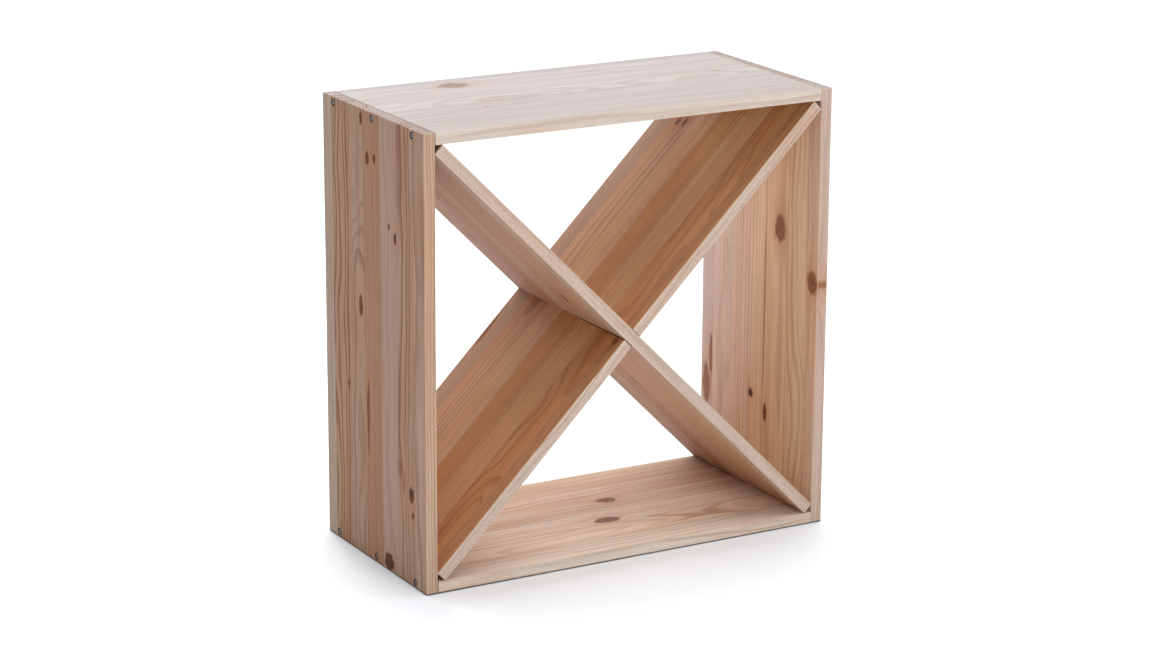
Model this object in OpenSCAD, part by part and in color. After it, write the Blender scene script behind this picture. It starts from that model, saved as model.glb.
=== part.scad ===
// Square wine rack in natural pine: four boards screwed into an open frame, and two
// boards with a halving joint that push in corner to corner and make four
// compartments. Every board is glued up edge to edge from staves, each its own node.
// Origin at the bottom centre, +X to the right, +Y to the back, +Z up. Millimetres.

/* [Frame] */
// Overall width across both side boards
width = 520; // [400:5:700]
// Overall depth, front to back
depth = 250; // [180:5:340]
// Overall height
height = 520; // [400:5:700]
// Thickness of the four frame boards
frame_t = 14; // [10:0.5:22]
// Radius of the eased arrises on every board
arris_r = 1.5; // [0.5:0.1:2.5]

/* [Staves] */
// Width of the first and the last stave of a board together
edge_strips_w = 50; // [46:1:54]
// First stave, at the front, of the left side
left_strip = 27; // [10:1:36]
// First stave of the right side
right_strip = 24; // [10:1:36]
// First stave of the top
top_strip = 35; // [10:1:40]
// First stave of the bottom
bottom_strip = 40; // [10:1:40]
// First stave of the divider board that rises to the right
rising_strip = 20; // [15:1:36]
// First stave of the divider board that falls to the right
falling_strip = 25; // [15:1:36]

/* [Divider] */
// Thickness of the two divider boards
cross_t = 14; // [10:0.5:22]
// Clearance between the divider's corners and the frame
frame_gap = 0.3; // [0.2:0.1:1]
// Clearance on each face of a board inside the other one's slot
slot_gap = 0.4; // [0.2:0.1:1]
// Clearance between the two slot bottoms
slot_end_gap = 0.8; // [0.4:0.1:2]

/* [Screws] */
// Screws in each corner joint
screws_per_joint = 3; // [2:1:4]
// Distance of the outer screws from the board's front and back edges
screw_inset = 28; // [20:1:40]
// Length of a screw
screw_len = 40; // [30:1:60]
// Outside diameter of the thread
thread_d = 3.5; // [3:0.1:5]
// Core diameter under the thread
core_d = 2.3; // [1.8:0.1:2.8]
// Plain length under the head
plain_len = 12; // [8:1:16]
// Distance from one thread ridge to the next
pitch = 1.8; // [1.4:0.1:2.4]
// Diameter of the countersunk head
head_d = 7; // [6:0.1:9]
// Height of the straight rim of the head
head_rim = 0.4; // [0.2:0.1:0.8]
// How far the head sits below the board's face
head_sink = 0.4; // [0.2:0.1:1]
// Width of one arm of the cross recess
recess_arm = 1.1; // [0.8:0.1:1.4]
// Diameter of the cross recess at the face of the head
recess_d = 4.2; // [3.6:0.1:5]
// Depth of the cross recess
recess_h = 2.2; // [1.5:0.1:2.6]
// Radial clearance of a screw in its hole
hole_gap = 0.05; // [0.02:0.01:0.2]

/* [Hidden] */
// Whole staves between the two edge strips of a board
whole_staves = 5;
staves = whole_staves + 2;
stave_w = (depth - edge_strips_w) / whole_staves;

// Clear space inside the frame
inner_w = width - 2 * frame_t;
inner_h = height - 2 * frame_t;

// The divider boards lie corner to corner. With their eased arrises taken off, a core
// is left whose corners stay arris_r and the clearance short of the frame.
core_room_w = inner_w - 2 * (frame_gap + arris_r);
core_room_h = inner_h - 2 * (frame_gap + arris_r);
core_t = cross_t - 2 * arris_r;
cross_angle = lean(core_room_w, core_room_h, core_t, atan2(core_room_h, core_room_w), 12);
cross_len = (core_room_w - core_t * sin(cross_angle)) / cos(cross_angle) + 2 * arris_r;

// The staves that the halving slots cut in two, on either side of the notched one
middle_stave = 4;
cut_ahead = [1:middle_stave - 1];
cut_behind = [middle_stave + 1:staves];

screw_span = depth - 2 * screw_inset;
head_h = head_rim + (head_d - thread_d) / 2;
tip_len = 2 * thread_d;
thread_turns = floor((screw_len - plain_len - tip_len / 2) / pitch);

arc_steps = 4;
over = 1;
far = 2 * (width + height);
$fn = 48;

// The angle at which a bar of thickness t fits corner to corner in a w by h opening,
// found by turning it towards the diagonal again and again.
function lean(w, h, t, angle, turns) =
    turns == 0 ? angle
    : lean(w, h, t, atan2(h - t * cos(angle), w - t * sin(angle)), turns - 1);

// Front face of stave i of a board whose first stave is strip wide
function stave_front(i, strip) = -depth / 2 + (i == 1 ? 0 : strip + (i - 2) * stave_w);
function stave_back(i, strip) =
    i == staves ? depth / 2 : -depth / 2 + strip + (i - 1) * stave_w;

// A rectangle about the origin with rounded corners
function rounded(w, h, r) = [
    for (corner = [[1, 1, 0], [-1, 1, 90], [-1, -1, 180], [1, -1, 270]])
        for (k = [0:arc_steps])
            let (a = corner[2] + 90 * k / arc_steps)
                [corner[0] * (w / 2 - r) + r * cos(a), corner[1] * (h / 2 - r) + r * sin(a)]
];

// A board centred on the origin, l along X, depth along Y and t thick along Z, with
// all its arrises eased
module board(l, t) {
    intersection() {
        linear_extrude(t + 2 * over, center = true)
            polygon(rounded(l, depth, arris_r));
        rotate([90, 0, 0])
            linear_extrude(depth + 2 * over, center = true)
                polygon(rounded(l, t, arris_r));
        rotate([90, 0, 90])
            linear_extrude(l + 2 * over, center = true)
                polygon(rounded(depth, t, arris_r));
    }
}

// Stave i of such a board
module stave(i, strip, l, t) {
    front = stave_front(i, strip);
    back = stave_back(i, strip);
    intersection() {
        board(l, t);
        translate([-l / 2 - over, front, -t])
            cube([l + 2 * over, back - front, 2 * t]);
    }
}

// Places its children at each screw of one joint, across the depth
module each_screw() {
    for (k = [0:screws_per_joint - 1])
        translate([0, -screw_span / 2 + k * screw_span / (screws_per_joint - 1), 0])
            children();
}

// The left pair of joints, at the heights of the bottom and the top board. Its
// children point along +X from the side board's outer face.
module each_joint() {
    for (z = [frame_t / 2, height - frame_t / 2])
        translate([-width / 2, 0, z])
            each_screw()
                children();
}

// The hole that a screw needs: a countersink, then a straight hole to past its point
module screw_hole() {
    sink = head_sink + hole_gap;
    rotate([0, 90, 0])
        rotate_extrude()
            polygon([
                [0, -over],
                [head_d / 2 + hole_gap, -over],
                [head_d / 2 + hole_gap, sink + head_rim],
                [thread_d / 2 + hole_gap, sink + head_h],
                [thread_d / 2 + hole_gap, sink + screw_len],
                [0, sink + screw_len]
            ]);
}

// A countersunk wood screw from the outer face of the side board inwards, along +X
module screw() {
    translate([head_sink, 0, 0])
        rotate([0, 90, 0])
            difference() {
                rotate_extrude()
                    polygon(concat(
                        [
                            [0, 0],
                            [head_d / 2, 0],
                            [head_d / 2, head_rim],
                            [thread_d / 2, head_h],
                            [thread_d / 2, head_h + over],
                            [core_d / 2, head_h + 2 * over],
                            [core_d / 2, plain_len]
                        ],
                        [for (k = [0:thread_turns - 1], half = [0.5, 1])
                            let (z = plain_len + (k + half) * pitch)
                                [half < 1 ? ridge_r(z) : valley_r(z), z]],
                        [[0, screw_len]]
                    ));
                cross_recess();
            }
}

// Radius of the thread's ridges and of its core, which both narrow towards the point
function narrowing(z) = min(1, (screw_len - z) / tip_len);
function ridge_r(z) = thread_d / 2 * narrowing(z);
function valley_r(z) = core_d / 2 * narrowing(z);

// Two crossed arms that narrow towards the bottom of the recess
module cross_recess() {
    intersection() {
        translate([0, 0, -over])
            cylinder(
                h = recess_h + over,
                d1 = recess_d + 2 * over,
                d2 = recess_arm
            );
        for (a = [0, 90])
            rotate([0, 0, a])
                translate([-recess_d, -recess_arm / 2, -2 * over])
                    cube([2 * recess_d, recess_arm, recess_h + 2 * over]);
    }
}

module left_side_stave(i) {
    color("#c9a88e")
        difference() {
            translate([-(width - frame_t) / 2, 0, height / 2])
                rotate([0, 90, 0])
                    stave(i, left_strip, height, frame_t);
            each_joint()
                screw_hole();
        }
}

module right_side_stave(i) {
    color("#cda98c")
        difference() {
            translate([(width - frame_t) / 2, 0, height / 2])
                rotate([0, 90, 0])
                    stave(i, right_strip, height, frame_t);
            mirror([1, 0, 0])
                each_joint()
                    screw_hole();
        }
}

module level_stave(i, strip, z) {
    difference() {
        translate([0, 0, z])
            stave(i, strip, inner_w, frame_t);
        for (side = [0, 1])
            mirror([side, 0, 0])
                each_joint()
                    screw_hole();
    }
}

module top_stave(i) {
    color("#e2cdb9")
        level_stave(i, top_strip, height - frame_t / 2);
}

module bottom_stave(i) {
    color("#d3b295")
        level_stave(i, bottom_strip, frame_t / 2);
}

// Turns its children from level to the slope of a divider board. A sign of 1 rises
// to the right and -1 falls to the right.
module sloped(sign) {
    translate([0, 0, height / 2])
        rotate([0, -sign * cross_angle, 0])
            children();
}

// The slot for the board that leans the other way, from y to the back or the front
module slot(sign, y, side) {
    slot_w = cross_t + 2 * slot_gap;
    sloped(-sign)
        translate([-far / 2, side > 0 ? y : y - far, -slot_w / 2])
            cube([far, far, slot_w]);
}

// The half of a stave on one side of the slot: the left one or the right one
module left_or_right(side) {
    intersection() {
        children();
        translate([side > 0 ? 0 : -far, -far / 2, -far / 2])
            cube([far, far, 2 * far]);
    }
}

// Rises from the bottom left corner and is slotted from the front
module rising_stave(i) {
    color("#b98c68")
        difference() {
            sloped(1)
                stave(i, rising_strip, cross_len, cross_t);
            slot(1, slot_end_gap / 2, -1);
        }
}

// Falls from the top left corner and is slotted from the back
module falling_stave(i) {
    color("#bf9474")
        difference() {
            sloped(-1)
                stave(i, falling_strip, cross_len, cross_t);
            slot(-1, -slot_end_gap / 2, 1);
        }
}

module screw_row(z) {
    color("#9a9c9e")
        translate([-width / 2, 0, z])
            each_screw()
                screw();
}

for (i = [1:staves]) {
    left_side_stave(i);
    right_side_stave(i);
    top_stave(i);
    bottom_stave(i);
}
for (i = cut_ahead) {
    left_or_right(-1) rising_stave(i);
    left_or_right(1) rising_stave(i);
}
for (i = [middle_stave:staves])
    rising_stave(i);
for (i = [1:middle_stave])
    falling_stave(i);
for (i = cut_behind) {
    left_or_right(-1) falling_stave(i);
    left_or_right(1) falling_stave(i);
}
screw_row(height - frame_t / 2);  // screws_top_left
screw_row(frame_t / 2);  // screws_bottom_left
mirror([1, 0, 0]) screw_row(height - frame_t / 2);  // screws_top_right
mirror([1, 0, 0]) screw_row(frame_t / 2);  // screws_bottom_right
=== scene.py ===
"""Looks for the pine wine rack: wood grain for every stave, zinc for the screws, a pale
studio. Lengths in the wood materials are in millimetres, everything else in metres."""

import math

import bpy
from mathutils import Matrix, Vector


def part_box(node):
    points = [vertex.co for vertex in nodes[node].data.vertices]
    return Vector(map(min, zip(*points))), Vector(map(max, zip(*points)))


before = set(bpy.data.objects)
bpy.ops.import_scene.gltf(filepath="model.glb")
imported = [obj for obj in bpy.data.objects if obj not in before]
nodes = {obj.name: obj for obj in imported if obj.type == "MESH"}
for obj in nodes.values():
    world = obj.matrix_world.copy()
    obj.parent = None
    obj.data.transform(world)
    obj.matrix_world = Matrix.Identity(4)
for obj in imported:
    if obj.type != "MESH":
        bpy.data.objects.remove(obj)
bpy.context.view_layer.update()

MM = 1000.0


# --- Node helpers ---------------------------------------------------------------


class Tree:
    """Builds a node tree: each call adds a node and returns its output socket."""

    def __init__(self, tree):
        self.tree = tree

    def node(self, kind, **settings):
        made = self.tree.nodes.new(kind)
        for name, value in settings.items():
            setattr(made, name, value)
        return made

    def feed(self, socket, value):
        if isinstance(value, bpy.types.NodeSocket):
            self.tree.links.new(value, socket)
        else:
            socket.default_value = value

    def math(self, operation, *values):
        made = self.node("ShaderNodeMath", operation=operation)
        for socket, value in zip(made.inputs, values):
            self.feed(socket, value)
        return made.outputs[0]

    def vector(self, operation, *values):
        made = self.node("ShaderNodeVectorMath", operation=operation)
        for socket, value in zip(made.inputs, values):
            self.feed(socket, value)
        return made.outputs["Value" if operation in ("DOT_PRODUCT", "LENGTH") else "Vector"]

    def scaled(self, vector, x, y, z):
        return self.vector("MULTIPLY", vector, (x, y, z))

    def joined(self, x, y, z):
        made = self.node("ShaderNodeCombineXYZ")
        for socket, value in zip(made.inputs, (x, y, z)):
            self.feed(socket, value)
        return made.outputs[0]

    def parts(self, vector):
        made = self.node("ShaderNodeSeparateXYZ")
        self.feed(made.inputs[0], vector)
        return made.outputs[0], made.outputs[1], made.outputs[2]

    def noise(self, vector, detail=2.0, roughness=0.5, seed=0.0):
        """Noise of one unit's scale, from about 0.2 to 0.8 around 0.5."""
        made = self.node("ShaderNodeTexNoise", noise_dimensions="4D")
        self.feed(made.inputs["Vector"], vector)
        self.feed(made.inputs["W"], seed)
        self.feed(made.inputs["Scale"], 1.0)
        self.feed(made.inputs["Detail"], detail)
        self.feed(made.inputs["Roughness"], roughness)
        return made.outputs[0]

    def step(self, value, low, high, to_low=0.0, to_high=1.0):
        """A smooth step from to_low at low to to_high at high."""
        made = self.node("ShaderNodeMapRange", interpolation_type="SMOOTHSTEP")
        for socket, v in zip(made.inputs, (value, low, high, to_low, to_high)):
            self.feed(socket, v)
        return made.outputs[0]

    def mix(self, factor, a, b, blend="MIX"):
        made = self.node("ShaderNodeMix", data_type="RGBA", blend_type=blend)
        self.feed(made.inputs[0], factor)
        self.feed(made.inputs[6], a)
        self.feed(made.inputs[7], b)
        return made.outputs[2]


def group(name, inputs, outputs):
    """A new node group with its sockets, and the Tree, inputs and outputs inside it."""
    tree = bpy.data.node_groups.new(name, "ShaderNodeTree")
    for label, kind in inputs:
        tree.interface.new_socket(label, in_out="INPUT", socket_type=kind)
    for label, kind in outputs:
        tree.interface.new_socket(label, in_out="OUTPUT", socket_type=kind)
    t = Tree(tree)
    return t, t.node("NodeGroupInput").outputs, t.node("NodeGroupOutput").inputs


def use(t, name, **values):
    """Adds a group to a tree with its inputs fed, and returns its outputs."""
    made = t.node("ShaderNodeGroup", node_tree=bpy.data.node_groups[name])
    for label, value in values.items():
        t.feed(made.inputs[label.replace("_", " ")], value)
    return made.outputs


def colour(red, green, blue):
    """A colour from its sRGB values of 0 to 255."""

    def linear(value):
        value /= 255.0
        return value / 12.92 if value <= 0.04045 else ((value + 0.055) / 1.055) ** 2.4

    return (linear(red), linear(green), linear(blue), 1.0)


# --- Pine -----------------------------------------------------------------------

FLOAT, VECTOR, COLOUR = "NodeSocketFloat", "NodeSocketVector", "NodeSocketColor"
LATE = (0.56, 0.40, 0.30, 1.0)  # what latewood leaves of earlywood's red, green and blue
BLUSH = (0.94, 0.82, 0.74, 1.0)  # the same for a blush of heartwood


def make_knot_group():
    """One knot, a branch that runs through the thickness of a board. It pulls the
    growth rings round itself and gives its own mask, dark parts and reddish halo."""
    t, given, out = group(
        "knot",
        [("Place", VECTOR), ("Centre", VECTOR), ("Length", FLOAT), ("Width", FLOAT), ("Seed", FLOAT)],
        [("Place", VECTOR), ("Mask", FLOAT), ("Dark", FLOAT), ("Halo", FLOAT)],
    )
    away = t.scaled(t.vector("SUBTRACT", given["Place"], given["Centre"]), 1, 1, 0)
    along, across, _ = t.parts(away)
    reach = t.joined(
        t.math("DIVIDE", along, given["Length"]), t.math("DIVIDE", across, given["Width"]), 0.0
    )
    uneven = t.noise(t.scaled(reach, 1.1, 1.1, 1.1), 4.0, 0.6, given["Seed"])
    distance = t.math("ADD", t.vector("LENGTH", reach), t.math("MULTIPLY_ADD", uneven, 1.1, -0.55))
    halo = t.math("EXPONENT", t.math("MULTIPLY", t.math("MULTIPLY", distance, distance), -0.3))
    pulled = t.node("ShaderNodeVectorMath", operation="SCALE")
    t.feed(pulled.inputs[0], t.scaled(away, 0.3, 0.9, 0))
    t.feed(pulled.inputs["Scale"], halo)
    t.feed(out["Place"], t.vector("SUBTRACT", given["Place"], pulled.outputs[0]))
    t.feed(out["Halo"], halo)

    # The bark's broken rim, rings about the branch's own pith, and cracks that run out
    turned = t.math("MULTIPLY", t.math("ARCTAN2", across, along), 3.0)
    cracks = t.step(t.noise(t.joined(turned, 0.0, 0.0), 2.0, 0.6, given["Seed"]), 0.5, 0.66)
    rings = t.math("MULTIPLY_ADD", t.math("SINE", t.math("MULTIPLY", distance, 13.0)), 0.25, 0.25)
    rim = t.math("SUBTRACT", t.step(distance, 0.5, 0.85), t.step(distance, 0.9, 1.2))
    core = t.step(distance, 0.1, 0.5, 0.7, 0.0)
    t.feed(out["Mask"], t.step(distance, 0.7, t.math("MULTIPLY_ADD", cracks, 0.25, 1.1), 1.0, 0.0))
    dark = t.math("ADD", t.math("MAXIMUM", rings, core), t.math("MULTIPLY", cracks, 0.35))
    rim = t.math("MULTIPLY", rim, t.step(uneven, 0.35, 0.6, 0.3, 0.9))
    t.feed(out["Dark"], t.math("MAXIMUM", t.math("MINIMUM", dark, 1.0), rim))


def around(t, noise, size):
    """Noise moved to lie about nought, and made this large."""
    return t.math("MULTIPLY", t.math("SUBTRACT", noise, 0.5), size)


def grain_noise(t, given, along, across, detail=2.0, roughness=0.5, shift=0.0):
    """Noise drawn out along the grain, from how much of it a millimetre spans each way."""
    place = t.scaled(given["Place"], along, across, across)
    return t.noise(place, detail, roughness, t.math("ADD", given["Seed"], shift))


def growth_rings(t, given):
    """How strong the latewood is at a point: a dark band ends each year's growth."""
    _, across, deep = t.parts(given["Place"])
    # The pith wanders slowly up the trunk, which is what draws the cathedral arches.
    wander = around(t, grain_noise(t, given, 0.0034, 0.01), given["Wander"])
    from_pith = t.joined(
        t.math("SUBTRACT", across, given["Pith Across"]),
        t.math("ADD", t.math("SUBTRACT", deep, given["Pith Deep"]), wander),
        0.0,
    )
    wave = around(t, grain_noise(t, given, 0.012, 0.06), 2.6)
    radius = t.math("ADD", t.vector("LENGTH", from_pith), wave)
    # Good and poor years space the rings unevenly, and some rings are darker than others.
    outward = t.joined(t.math("MULTIPLY", radius, 0.11), 0.0, 0.0)
    years = around(t, t.noise(outward, 1.0, 0.5, given["Seed"]), 9.0)
    ring = t.math("DIVIDE", t.math("ADD", radius, years), given["Ring"])
    phase = t.math("FRACT", ring)
    band = t.math("MULTIPLY", t.step(phase, 0.45, 0.88), t.step(phase, 0.91, 1.0, 1.0, 0.0))
    chance = t.node("ShaderNodeTexWhiteNoise", noise_dimensions="1D")
    t.feed(chance.inputs["W"], t.math("ADD", t.math("FLOOR", ring), given["Seed"]))
    return t.math("MULTIPLY", band, t.math("MULTIPLY_ADD", chance.outputs[0], 0.7, 0.3))


def make_pine_group():
    """Sawn pine: growth rings about a wandering pith, fibres, resin flecks and end grain.
    Place is in millimetres along the grain, across the board and through it."""
    t, given, out = group(
        "pine",
        [
            ("Place", VECTOR), ("End", FLOAT), ("Sawn", FLOAT), ("Pith Across", FLOAT),
            ("Pith Deep", FLOAT), ("Ring", FLOAT), ("Wander", FLOAT), ("Contrast", FLOAT),
            ("Seed", FLOAT), ("Early", COLOUR), ("Blush", FLOAT),
        ],
        [("Colour", COLOUR), ("Latewood", FLOAT), ("Fibre", FLOAT)],
    )
    latewood = growth_rings(t, given)

    # Broad blotches and long ribbons of heartwood, then the rings over them
    blotch = grain_noise(t, given, 0.005, 0.03, shift=3.0)
    ribbon = grain_noise(t, given, 0.003, 0.11, shift=7.0)
    blush = t.math("MAXIMUM", t.step(blotch, 0.35, 0.7), t.step(ribbon, 0.55, 0.68))
    blush = t.math("MULTIPLY", blush, given["Blush"])
    contrast = t.math("MULTIPLY_ADD", given["End"], 0.3, given["Contrast"])
    drawn = t.math("MINIMUM", t.math("MULTIPLY", latewood, contrast), 1.0)
    made = t.mix(blush, given["Early"], BLUSH, "MULTIPLY")
    made = t.mix(drawn, made, LATE, "MULTIPLY")

    # Light and dark: streaks, fibres, resin flecks, darker end grain and saw roughness
    streak = grain_noise(t, given, 0.007, 0.28, 3.0, 0.55, 5.0)
    fibre = grain_noise(t, given, 0.035, 1.9, 3.0, 0.6)
    fleck = grain_noise(t, given, 0.13, 1.5, 1.0, 0.5, 9.0)
    rough = grain_noise(t, given, 0.4, 1.0, 2.0, 0.6, 11.0)
    shade = t.math("ADD", 1.0, t.math("ADD", around(t, streak, 0.5), around(t, fibre, 0.24)))
    shade = t.math("MULTIPLY", shade, t.step(fleck, 0.58, 0.7, 1.0, 0.87))
    shade = t.math("MULTIPLY", shade, t.math("MULTIPLY_ADD", given["End"], -0.12, 1.0))
    shade = t.math("MULTIPLY_ADD", around(t, rough, 1.0), given["Sawn"], shade)
    t.feed(out["Colour"], t.mix(1.0, made, t.joined(shade, shade, shade), "MULTIPLY"))
    t.feed(out["Latewood"], latewood)
    t.feed(out["Fibre"], fibre)


def box_of(board):
    """The lowest and highest corner of a board, from those of its staves."""
    staves = [name for name in nodes if name.startswith(board + "_stave")]
    corners = [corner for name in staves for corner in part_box(name)]
    return Vector(map(min, *corners)), Vector(map(max, *corners))


class Board:
    """One glued-up board: its place and size, and which way its grain and thickness lie."""

    def __init__(self, name, grain):
        low, high = box_of(name)
        self.grain = grain.normalized()
        self.across = Vector((0, 1, 0))
        self.deep = self.grain.cross(self.across)
        self.centre = (low + high) / 2
        self.half = self.half_sizes(high - low)

    def half_sizes(self, size):
        """Half length, depth and thickness. A sloping board's come from its box."""
        along_x, along_z = abs(self.grain.x), abs(self.grain.z)
        if along_x == 1.0:
            length, thick = size.x, size.z
        elif along_z == 1.0:
            length, thick = size.z, size.x
        else:
            thick = THICKNESS
            length = (size.x - thick * along_z) / along_x
        return length / 2, size.y / 2, thick / 2


def lean_of(board):
    """The slope of a divider board: it runs corner to corner, so it follows its box."""
    low, high = box_of(board)
    return math.atan2(high.z - low.z, high.x - low.x)


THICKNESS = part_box("top_stave_1")[1].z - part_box("top_stave_1")[0].z
SLOT_PLAY = 0.0004  # the gap between a board and each side of the slot it sits in
SLOT = THICKNESS / 2 + SLOT_PLAY  # how far a slot's sides lie from its middle
LEAN = lean_of("rising")

BOARDS = {
    "left_side": Board("left_side", Vector((0, 0, 1))),
    "right_side": Board("right_side", Vector((0, 0, 1))),
    "top": Board("top", Vector((1, 0, 0))),
    "bottom": Board("bottom", Vector((1, 0, 0))),
    "rising": Board("rising", Vector((math.cos(LEAN), 0, math.sin(LEAN)))),
    "falling": Board("falling", Vector((math.cos(LEAN), 0, -math.sin(LEAN)))),
}

# What each stave looks like, from the front to the back of its board: the sRGB colour of its earlywood,
# where the pith lay across and behind the face (mm), the ring width (mm), how far the pith wandered
# (mm) and how strongly the rings show. The colours carry painted light and shade as well as the wood's
# own tone: the left side's staves are painted darker than the right side's for the shade on its
# outside, and the rising divider's staves darker and warmer for the shade and warm bounced light inside
# the rack.
STAVES = {
    "left_side": [
        ((188, 158, 138), -118, -60, 4.0, 20, 0.7),
        ((182, 150, 128), -52, -24, 5.5, 45, 0.9),
        ((184, 152, 134), -10, -70, 7.0, 20, 0.3),
        ((175, 134, 108), 60, -60, 5.0, 20, 0.35),
        ((182, 150, 128), 2, -40, 5.0, 120, 0.65),
        ((182, 148, 122), 135, -40, 6.5, 70, 1.3),
        ((184, 163, 146), 60, -50, 7.0, 20, 0.4),
    ],
    "right_side": [
        ((220, 189, 164), -70, -30, 7.0, 40, 0.5),
        ((230, 205, 175), -120, -24, 8.0, 90, 0.5),
        ((238, 213, 183), -20, -90, 7.0, 30, 0.45),
        ((242, 218, 192), 70, -20, 7.0, 20, 0.5),
        ((241, 219, 201), 120, -20, 6.5, 20, 0.4),
        ((233, 214, 199), 80, -40, 8.0, 60, 0.3),
        ((228, 210, 202), 60, -30, 6.5, 30, 0.4),
    ],
    "top": [
        ((191, 181, 178), 0, -60, 6.0, 40, 0.35),
        ((188, 178, 176), 60, -40, 5.0, 30, 0.25),
        ((189, 179, 178), -70, -50, 7.0, 40, 0.25),
        ((196, 190, 190), -10, -45, 6.0, 90, 0.4),
        ((193, 183, 181), 90, -30, 6.0, 30, 0.25),
        ((195, 186, 185), 50, -50, 7.0, 50, 0.3),
        ((186, 178, 178), 80, -50, 6.0, 40, 0.25),
    ],
    "bottom": [
        ((228, 211, 196), -60, -60, 6.5, 40, 0.5),
        ((245, 229, 213), -65, -35, 6.0, 80, 0.6),
        ((246, 238, 230), 60, -30, 7.0, 40, 0.6),
        ((230, 212, 197), 80, -40, 6.5, 40, 0.5),
        ((224, 203, 186), 0, -60, 7.0, 60, 0.5),
        ((210, 182, 162), 30, -50, 6.0, 50, 0.5),
        ((210, 188, 168), 60, -50, 6.0, 40, 0.5),
    ],
    "rising": [
        ((187, 134, 92), -100, -35, 5.5, 70, 0.7),
        ((204, 146, 96), -97, -25, 6.0, 70, 0.8),
        ((217, 168, 120), -130, -20, 5.0, 20, 0.5),
        ((210, 153, 100), 120, -30, 5.0, 30, 0.7),
        ((219, 174, 138), 100, -20, 4.5, 20, 0.6),
        ((208, 159, 127), 20, -50, 5.5, 50, 0.7),
        ((183, 148, 124), 190, -20, 4.0, 20, 0.4),
    ],
    "falling": [
        ((202, 173, 150), -20, -60, 6.0, 40, 0.45),
        ((203, 166, 136), 0, -70, 6.0, 40, 0.5),
        ((204, 165, 135), 60, -60, 6.5, 40, 0.45),
        ((207, 171, 142), 50, -60, 6.0, 40, 0.45),
        ((193, 153, 122), -10, -60, 6.0, 60, 0.5),
        ((195, 160, 136), 60, -60, 6.0, 40, 0.5),
        ((185, 152, 131), 160, -30, 6.0, 30, 0.45),
    ],
}

# The sRGB colour of each board's front and back edges, which are paler than most of its
# faces, the sRGB colour of its end grain, and how rough the saw left the edges
CUTS = {
    "left_side": ((208, 182, 161), (184, 170, 166), 0.15),
    "right_side": ((208, 188, 177), (184, 170, 166), 0.15),
    "top": ((223, 212, 202), (184, 170, 166), 0.15),
    "bottom": ((232, 219, 206), (184, 170, 166), 0.15),
    "rising": ((214, 197, 184), (186, 158, 134), 0.85),
    "falling": ((212, 196, 184), (186, 158, 134), 0.85),
}

# Knots of each board: along its grain from the middle, across from the middle, the half
# length and half width of the knot, all in mm, how dead and dark it is, and how plainly
# it shows
KNOTS = {
    "left_side": [
        (249, 27, 8, 3.5, 0.9, 1.0), (206, 12, 8, 5, 0.8, 1.0), (209, -5, 6, 4.5, 0.8, 1.0),
        (140, -40, 4, 3, 0.8, 0.9), (130, -56, 7, 4.5, 0.9, 1.0), (34, 32, 13, 5.5, 0.7, 1.0),
        (-76, 17, 18, 3.2, 0.7, 1.0), (-96, 16, 48, 2, 0.4, 1.0), (-65, 65, 5, 3, 0.7, 1.0),
        (-130, -62, 12, 5, 0.6, 0.6), (-143, -70, 16, 5, 0.4, 0.5), (-153, -89, 10, 7, 0.9, 1.0),
        (-176, -92, 5, 3, 0.8, 0.9), (-112, 99, 12, 4, 0.2, 0.4),
        (-249, -33, 10, 13, 0.9, 1.0),
    ],
    "right_side": [
        (80, -45, 18, 12, 0.1, 0.95), (30, -115, 15, 11, 0.1, 0.95), (-136, 12, 6, 5, 0.9, 1.0),
        (-153, -20, 12, 4, 0.4, 1.0), (-25, -15, 105, 2.6, 0.1, 0.4), (-60, -49, 120, 6, 0.0, 0.25),
        (-112, 103, 26, 4, 0.1, 0.8), (-148, 112, 28, 9, 0.1, 0.75),
    ],
    "top": [(-113, 88, 19, 14, 0.7, 0.55), (-135, -32, 3, 2, 0.3, 0.4)],
    "bottom": [(22, -34, 18, 9, 0.6, 0.85), (56, 28, 14, 10, 0.5, 0.85)],
    "rising": [
        (-16, 74, 22, 8, 0.1, 0.6), (262, 79, 6, 4, 0.6, 1.0), (264, 67, 7, 4, 0.6, 1.0),
        (-70, 120, 24, 4, 0.2, 0.9), (-14, -112, 6, 4, 0.3, 0.9),
    ],
    "falling": [(-122, 90, 12, 5, 0.2, 0.6), (-52, -43, 8, 6, 0.2, 0.8), (137, 23, 11, 7, 0.2, 0.8)],
}
KNOT_HALO = colour(196, 130, 84)
KNOT_LIGHT, KNOT_DARK = colour(172, 104, 64), colour(108, 54, 28)
DEAD_LIGHT, DEAD_DARK = colour(110, 64, 36), colour(48, 26, 14)
GLUE = colour(128, 88, 62)
WEAR_AND_HIGHLIGHT = colour(232, 212, 190)
SHADE = colour(44, 30, 22)  # painted shade in narrow gaps, along the foot and round the screw heads
PLATE_DULL, PLATE_BRIGHT = colour(128, 129, 132), colour(196, 197, 200)
SCREW_SHADE = colour(24, 21, 19)

# How far a glue line darkens the wood, and how far the painted shade reaches from a corner joint, a
# slot, the floor and a screw's hole, all in mm
GLUE_REACH = 1.2
JOINT_REACH = 1.3
SLOT_REACH = 1.6
BASE_REACH = 2.4
HOLE_REACH = 1.4

WOOD_RELIEF = 0.00018  # the height of the bumps along the grain, in metres
ZINC_RELIEF = 0.00005  # the same for the clouded plate
WOOD_SPECULAR = 0.08  # bare wood hardly mirrors the studio
ARRIS_ANGLE = math.radians(32)  # folds as flat as this are shaded smooth


def mixed(a, b, share):
    """The colour that lies this share of the way from a to b."""
    return tuple(x + (y - x) * share for x, y in zip(a, b))


def stave_index(name):
    """A stave's place in its board, counted from 0 at the front."""
    return int(name.split("_stave_")[1].split("_")[0]) - 1


def knots_near(board_name, low, high):
    """The knots of a board that lie in a stave, or reach into it, between y low and y high."""
    return [
        (index, knot)
        for index, knot in enumerate(KNOTS[board_name])
        if low - 0.25 * knot[3] < knot[1] < high + 0.25 * knot[3]
    ]


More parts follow.
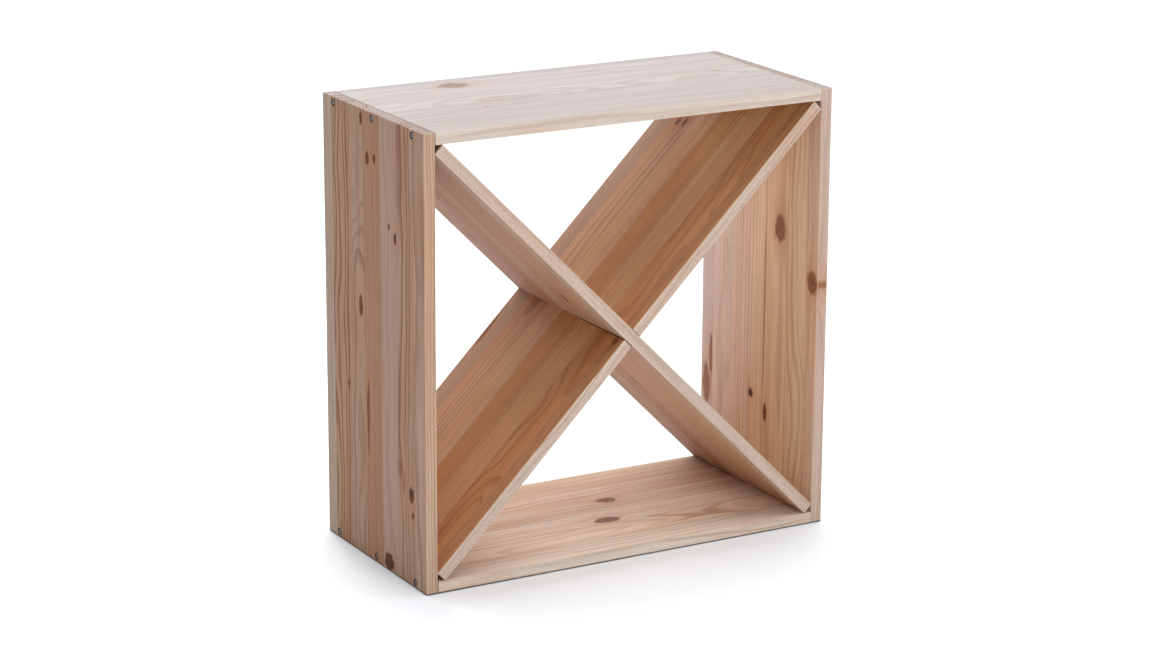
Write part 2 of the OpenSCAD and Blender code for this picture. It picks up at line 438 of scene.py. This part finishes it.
def place_in_board(t, board):
    """Where a point lies in its board, in mm: along the grain, across it and through it."""
    where = t.node("ShaderNodeTexCoord").outputs["Object"]
    off = t.vector("SUBTRACT", where, tuple(board.centre))
    return t.joined(*(
        t.vector("DOT_PRODUCT", off, tuple(axis * MM))
        for axis in (board.grain, board.across, board.deep)
    ))


def arris(t, place, board):
    """1 on the board's eased arrises and 0 on its faces. A point on a face is on an
    arris if it is near a second face as well."""
    inside = t.vector(
        "SUBTRACT", tuple(half * MM for half in board.half), t.vector("ABSOLUTE", place)
    )
    a, b, c = t.parts(inside)
    nearest = t.math("MINIMUM", t.math("MINIMUM", a, b), c)
    farthest = t.math("MAXIMUM", t.math("MAXIMUM", a, b), c)
    middle = t.math("SUBTRACT", t.math("ADD", t.math("ADD", a, b), c), t.math("ADD", nearest, farthest))
    return t.step(middle, 0.4, 1.9, 1.0, 0.0)


def add_knots(t, place, found, seed):
    """Adds a stave's knots, and returns where the bent grain comes from and the knots."""
    knots = []
    for number, (along, across, length, width, _, _) in found:
        knot = use(
            t, "knot", Place=place, Centre=(along, across, 0.0), Length=length, Width=width,
            Seed=seed + number,
        )
        place = knot["Place"]
        knots.append(knot)
    return place, knots


def paint_knots(t, seen, found, knots):
    """Lays the knots over the wood, and returns the colour and where a knot shows."""
    knotty = 0.0
    for (_, (_, _, _, _, dead, strength)), knot in zip(found, knots):
        light, dark = mixed(KNOT_LIGHT, DEAD_LIGHT, dead), mixed(KNOT_DARK, DEAD_DARK, dead)
        seen = t.mix(t.math("MULTIPLY", knot["Halo"], 0.4 * strength), seen, KNOT_HALO)
        inside = t.mix(knot["Dark"], light, dark)
        seen = t.mix(t.math("MULTIPLY", knot["Mask"], strength), seen, inside)
        knotty = t.math("MAXIMUM", knot["Mask"], knotty)
    return seen, knotty


def from_screw(t, up, aside):
    """How far a point lies from the axis of the nearest screw, in mm, and the radius of
    a screw head. The rows of screws lie the same way up and down, and front and back."""
    low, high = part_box("screws_top_left")
    radius = (high.z - low.z) / 2
    row = (low.z + radius - BOARDS["left_side"].centre.z) * MM
    outer = (high.y - radius) * MM
    up = t.math("SUBTRACT", t.math("ABSOLUTE", up), row)
    aside = t.math("ABSOLUTE", aside)
    aside = t.math("MINIMUM", aside, t.math("ABSOLUTE", t.math("SUBTRACT", aside, outer)))
    return t.vector("LENGTH", t.joined(up, aside, 0.0)), radius * MM


def paint_gap_shade(t, seen, name, along, across, end):
    """Paints shade into the narrow places: corner joints, slots, the foot where the rack meets the
    floor, and round the screw holes.
    """
    board_name = name.split("_stave_")[0]
    if board_name in ("top", "bottom"):
        out = BOARDS[board_name].half[0] * MM
        # Painted shade in the joint where the board's end meets a side
        joint = t.step(t.math("ABSOLUTE", along), out - JOINT_REACH, out - 0.2, 0.0, 0.5)
        seen = t.mix(joint, seen, SHADE)
    if name.endswith("_low"):
        out = SLOT * MM
        # Painted shade along the slot's edges, where the other board crosses in its gap
        slot = t.step(t.math("ABSOLUTE", along), out + 0.4, out + SLOT_REACH, 0.75, 0.0)
        seen = t.mix(t.math("MULTIPLY", slot, t.math("SUBTRACT", 1.0, end)), seen, SHADE)
    if board_name in ("left_side", "right_side", "bottom"):
        up = t.parts(t.node("ShaderNodeTexCoord").outputs["Object"])[2]
        # Painted contact shadow along the foot, where the rack stands on the floor
        seen = t.mix(t.step(up, 1.0 / MM, BASE_REACH / MM, 0.9, 0.0), seen, SHADE)
    if board_name in ("left_side", "right_side"):
        away, radius = from_screw(t, along, across)
        # Painted shade in a ring round each screw head, where it sits in its hole
        seen = t.mix(t.step(away, radius + 0.2, radius + HOLE_REACH, 0.95, 0.0), seen, SHADE)
    return seen


def bump_normal(t, height, strength, distance):
    """The normal of a surface roughened by a height, which spans this distance in metres."""
    bump = t.node("ShaderNodeBump")
    bump.inputs["Strength"].default_value = strength
    bump.inputs["Distance"].default_value = distance
    t.feed(bump.inputs["Height"], height)
    return bump.outputs[0]


def pine_material(name):
    """The wood of one stave."""
    board_name = name.split("_stave_")[0]
    board = BOARDS[board_name]
    index = stave_index(name)
    rgb, pith_across, pith_deep, ring, wander, contrast = STAVES[board_name][index]
    edge_rgb, end_rgb, sawn = CUTS[board_name]
    low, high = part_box(name)
    low_y, high_y = low.y * MM, high.y * MM
    staves_before = sorted(BOARDS).index(board_name) * len(STAVES[board_name]) + index
    seed = 10.0 * staves_before + 1.3  # far enough apart that no two staves look alike

    material = bpy.data.materials.new("pine_" + name)
    material.use_nodes = True
    t = Tree(material.node_tree)
    shader = t.tree.nodes["Principled BSDF"]
    place = place_in_board(t, board)
    found = knots_near(board_name, low_y, high_y)
    grained, knots = add_knots(t, place, found, seed)

    # The end grain, the front and back edges, and the faces each have their own tone
    normal = t.node("ShaderNodeTexCoord").outputs["Normal"]
    facing_end = t.math("ABSOLUTE", t.vector("DOT_PRODUCT", normal, tuple(board.grain)))
    facing_edge = t.math("ABSOLUTE", t.vector("DOT_PRODUCT", normal, tuple(board.across)))
    end = t.step(facing_end, 0.6, 0.9)
    edge = t.step(facing_edge, 0.5, 0.9)
    # The faces' colour carries painted light and shade as well as the wood's own tone
    early = t.mix(edge, colour(*rgb), colour(*edge_rgb))
    early = t.mix(end, early, colour(*end_rgb))
    wood = use(
        t, "pine", Place=grained, End=end, Sawn=t.math("MULTIPLY", edge, sawn),
        Pith_Across=float(pith_across), Pith_Deep=float(pith_deep),
        Ring=ring, Wander=float(wander), Contrast=contrast, Seed=seed, Early=early,
        Blush=min(1.0, 1.6 * contrast),
    )
    seen, knotty = paint_knots(t, wood["Colour"], found, knots)

    # Glue lines along the stave's sides, and the board's arrises painted a little paler: a little wear
    # and a painted highlight on the eased edges
    along, across, _ = t.parts(place)
    to_side = t.math("MINIMUM", t.math("SUBTRACT", across, low_y), t.math("SUBTRACT", high_y, across))
    seen = t.mix(t.step(to_side, 0.1, GLUE_REACH, 0.22, 0.0), seen, GLUE)
    seen = t.mix(t.math("MULTIPLY", arris(t, place, board), 0.2), seen, WEAR_AND_HIGHLIGHT)
    t.feed(shader.inputs["Base Color"], paint_gap_shade(t, seen, name, along, across, end))

    # Latewood and knots are hard and take a little more polish than the fibres between.
    gloss = t.math("MULTIPLY_ADD", wood["Latewood"], -0.1, 0.6)
    gloss = t.math("MULTIPLY_ADD", knotty, -0.12, gloss)
    t.feed(shader.inputs["Roughness"], t.math("MULTIPLY_ADD", wood["Fibre"], 0.12, gloss))
    height = t.math("MULTIPLY_ADD", wood["Fibre"], 0.6, wood["Latewood"])
    t.feed(shader.inputs["Normal"], bump_normal(t, height, 0.35, WOOD_RELIEF))
    shader.inputs["Specular IOR Level"].default_value = WOOD_SPECULAR
    return material


def zinc_material():
    """Zinc plate: cloudy, with painted shade in the cross recess and round the head's rim."""
    material = bpy.data.materials.new("zinc")
    material.use_nodes = True
    t = Tree(material.node_tree)
    shader = t.tree.nodes["Principled BSDF"]
    where = t.node("ShaderNodeTexCoord").outputs["Object"]
    cloud = t.noise(t.scaled(where, 900, 900, 900), 3.0, 0.6)
    plate = t.mix(cloud, PLATE_DULL, PLATE_BRIGHT)
    out, aside, up = t.parts(t.scaled(where, MM, MM, MM))
    face = max(abs(corner.x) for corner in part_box("screws_top_left")) * MM
    # Painted shade: dark, unmetallic colour deep in the cross recess and in a ring round the head's rim
    recess = t.step(t.math("ABSOLUTE", out), face - 0.9, face - 0.15, 1.0, 0.0)
    up = t.math("SUBTRACT", up, BOARDS["left_side"].centre.z * MM)
    away, radius = from_screw(t, up, aside)
    rim = t.step(away, radius - 1.7, radius - 0.7)
    screw_shade = t.math("MULTIPLY", t.math("MAXIMUM", recess, rim), 0.95)
    t.feed(shader.inputs["Base Color"], t.mix(screw_shade, plate, SCREW_SHADE))
    t.feed(shader.inputs["Metallic"], t.math("SUBTRACT", 1.0, screw_shade))
    rough = t.math("MULTIPLY_ADD", screw_shade, 0.35, 0.28)
    t.feed(shader.inputs["Roughness"], t.math("MULTIPLY_ADD", cloud, 0.2, rough))
    t.feed(shader.inputs["Normal"], bump_normal(t, cloud, 0.2, ZINC_RELIEF))
    return material


def dress(ob, material):
    """Gives a CAD piece its material, and shades its eased arrises smooth."""
    ob.data.materials.clear()
    ob.data.materials.append(material)
    ob.data.shade_smooth()
    ob.data.set_sharp_from_angle(angle=ARRIS_ANGLE)


# --- Studio ---------------------------------------------------------------------

# The photograph's viewing angle: from the front left, a little above
AZIMUTH, ELEVATION, ROLL = math.radians(29.6), math.radians(15.76), math.radians(0.3)
CAMERA_DISTANCE = 3.736
CAMERA_TARGET = Vector((-0.002, 0.0, 0.2456))
LENS, SENSOR = 101.5, 36.0  # both in mm

LIGHTS_AIM = Vector((0, 0, 0.25))  # about the middle of the rack
NEUTRAL, WARM, COOL = (1.0, 1.0, 1.0), (1.0, 0.97, 0.93), (0.95, 0.98, 1.0)
FLOOR_SIZE = 60.0  # reaches past the edge of every view
FLOOR_COLOUR = (0.88, 0.905, 0.935, 1.0)


def aimed(place, way):
    """The matrix of a camera or light at this place that looks this way."""
    turn = way.to_track_quat("-Z", "Y").to_matrix().to_4x4()
    return Matrix.Translation(place) @ turn


def make_camera():
    """A camera at the photograph's viewing angle."""
    back = Vector((
        -math.sin(AZIMUTH) * math.cos(ELEVATION),
        -math.cos(AZIMUTH) * math.cos(ELEVATION),
        math.sin(ELEVATION),
    ))
    data = bpy.data.cameras.new("camera")
    data.lens, data.sensor_width = LENS, SENSOR
    camera = bpy.data.objects.new("camera", data)
    place = CAMERA_TARGET + back * CAMERA_DISTANCE
    camera.matrix_world = aimed(place, -back) @ Matrix.Rotation(ROLL, 4, "Z")
    bpy.context.scene.collection.objects.link(camera)
    bpy.context.scene.camera = camera


def make_panel(name, place, size, power, tint):
    """A soft light panel that faces the rack and is itself out of sight."""
    data = bpy.data.lights.new(name, "AREA")
    data.shape, data.size, data.size_y = "RECTANGLE", size[0], size[1]
    data.energy, data.color = power, tint
    light = bpy.data.objects.new(name, data)
    light.matrix_world = aimed(place, LIGHTS_AIM - Vector(place))
    light.visible_camera = False
    bpy.context.scene.collection.objects.link(light)


def make_overhead():
    """A wide soft light from above, even over the whole floor."""
    data = bpy.data.lights.new("overhead", "SUN")
    data.energy, data.angle, data.color = 3.3, math.radians(80), COOL
    light = bpy.data.objects.new("overhead", data)
    light.rotation_euler = (math.radians(-8), math.radians(8), 0)
    bpy.context.scene.collection.objects.link(light)


def make_world():
    """White where the camera sees it, and a dim even light on everything else."""
    scene = bpy.context.scene
    world = bpy.data.worlds.new("studio")
    world.use_nodes = True
    t = Tree(world.node_tree)
    background = t.tree.nodes["Background"]
    background.inputs["Color"].default_value = (1.0, 1.0, 1.0, 1.0)
    seen = t.node("ShaderNodeLightPath").outputs["Is Camera Ray"]
    t.feed(background.inputs["Strength"], t.math("MULTIPLY_ADD", seen, 0.8, 0.2))
    scene.world = world
    scene.view_settings.view_transform = "Standard"


def make_floor():
    """A plain pale floor that only belongs to the studio."""
    bpy.ops.mesh.primitive_plane_add(size=FLOOR_SIZE)
    floor = bpy.context.active_object
    floor.name = "floor"
    material = bpy.data.materials.new("floor")
    material.use_nodes = True
    shader = material.node_tree.nodes["Principled BSDF"]
    shader.inputs["Base Color"].default_value = FLOOR_COLOUR
    shader.inputs["Roughness"].default_value = 0.6
    floor.data.materials.append(material)


make_camera()
make_knot_group()
make_pine_group()
zinc = zinc_material()
for name, ob in nodes.items():
    dress(ob, zinc if name.startswith("screws") else pine_material(name))
make_world()
make_overhead()
make_panel("backdrop", (1.2, 3.6, 1.3), (3.2, 2.2), 40.0, NEUTRAL)
make_panel("back_fill", (-0.05, 1.5, 0.7), (0.4, 1.0), 9.0, WARM)
make_panel("front_fill", (-0.05, -1.3, 0.6), (0.4, 0.8), 6.0, WARM)
make_floor()
